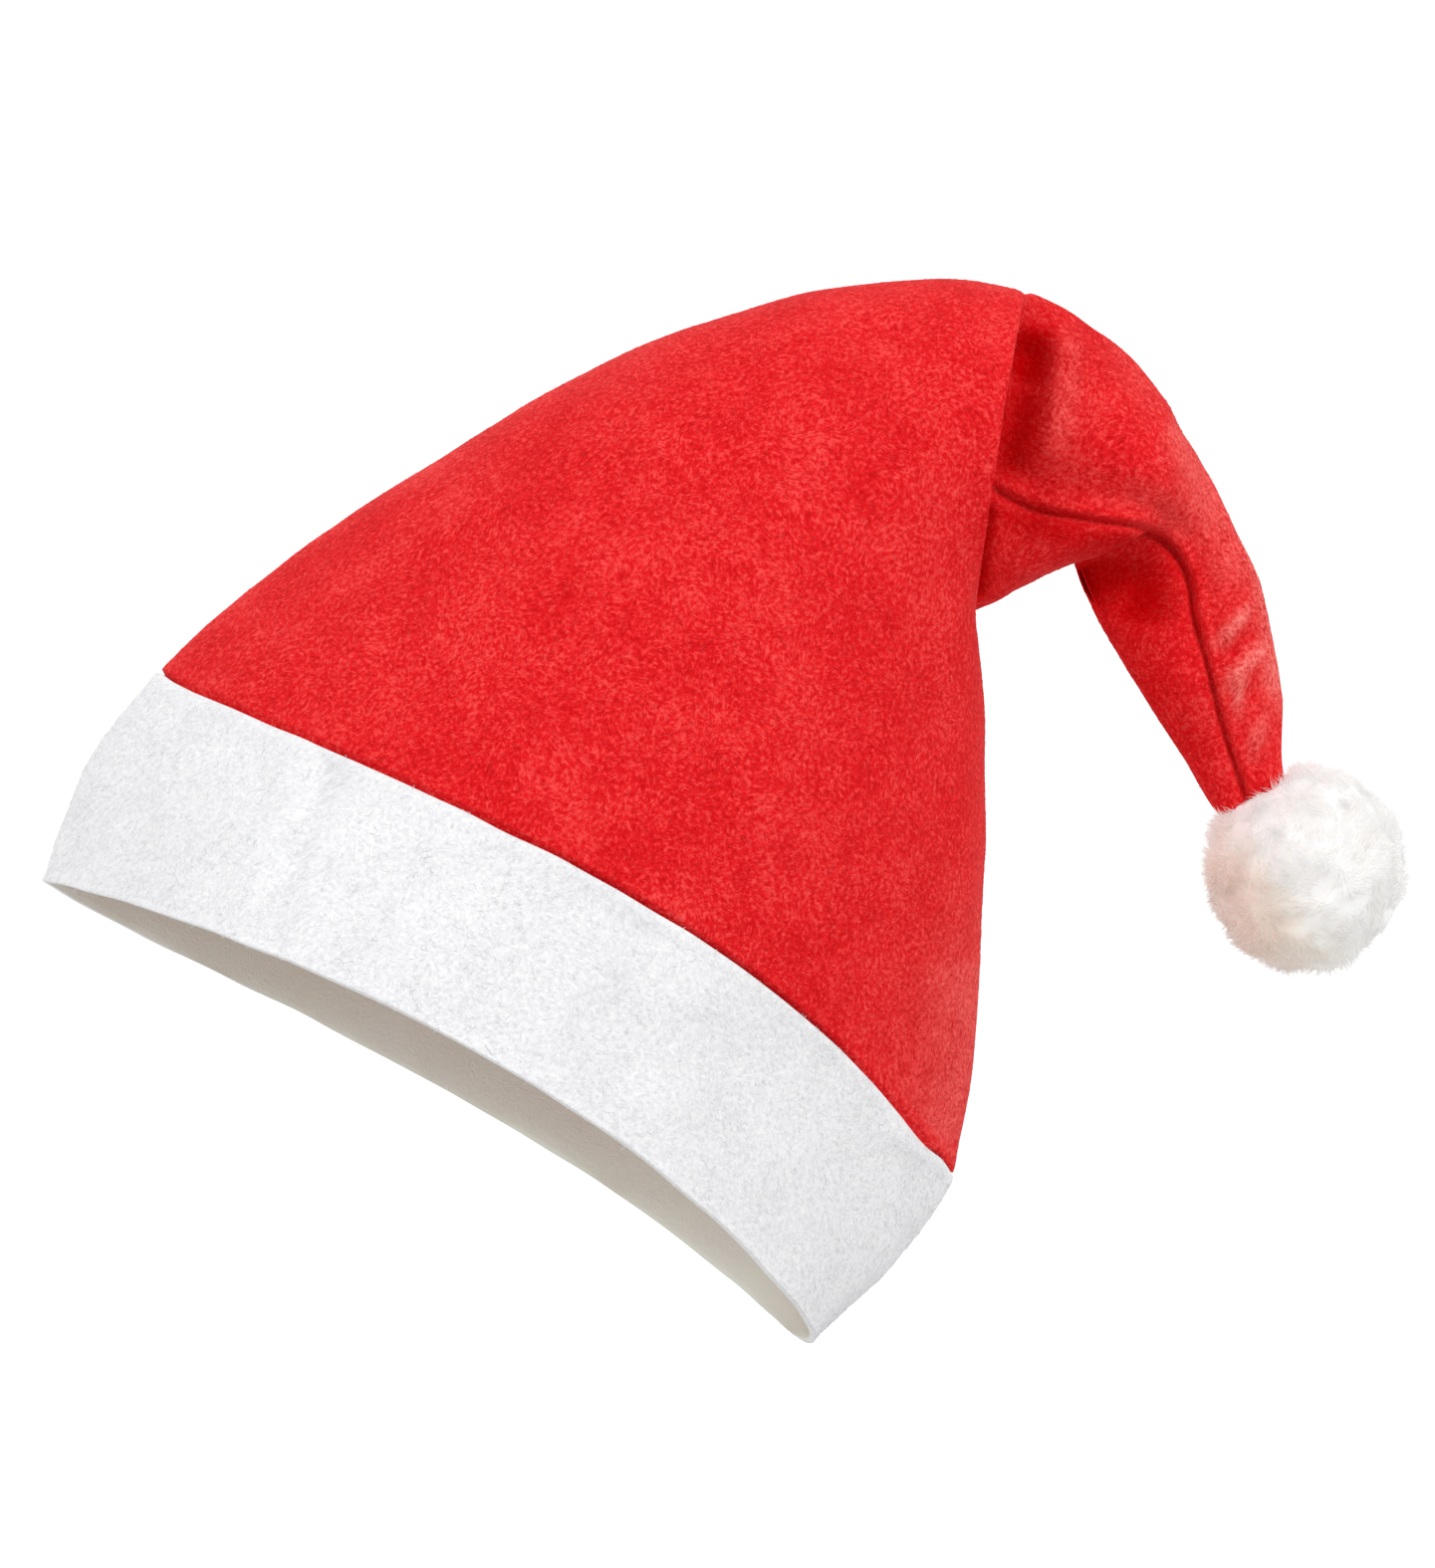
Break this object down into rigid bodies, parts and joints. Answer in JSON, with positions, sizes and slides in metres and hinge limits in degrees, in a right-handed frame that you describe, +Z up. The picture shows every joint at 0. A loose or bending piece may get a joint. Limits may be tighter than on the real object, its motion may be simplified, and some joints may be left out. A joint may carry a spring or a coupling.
{
  "type": "santa hat",
  "caption": "Soft red felt cone hat with a folded-over tail, a white felt band round the mouth and a white plush pompom on the tail's end.",
  "frame": {"origin": "middle of the mouth opening, between the two seam corners of the band", "axes": "+X towards the side that the tail falls over, +Y to the back of the hat, +Z up as it is worn on a tilted head"},
  "size_m": [0.362, 0.151, 0.2827],
  "materials": {
    "red_felt": "matt needle felt with short loose fibres",
    "white_felt": "matt needle felt with short loose fibres",
    "white_plush": "soft plush pile, warm white"
  },
  "bodies": {
    "root": {"crown": "red_felt", "band": "white_felt", "pompom": "white_plush"}
  },
  "joints": []
}
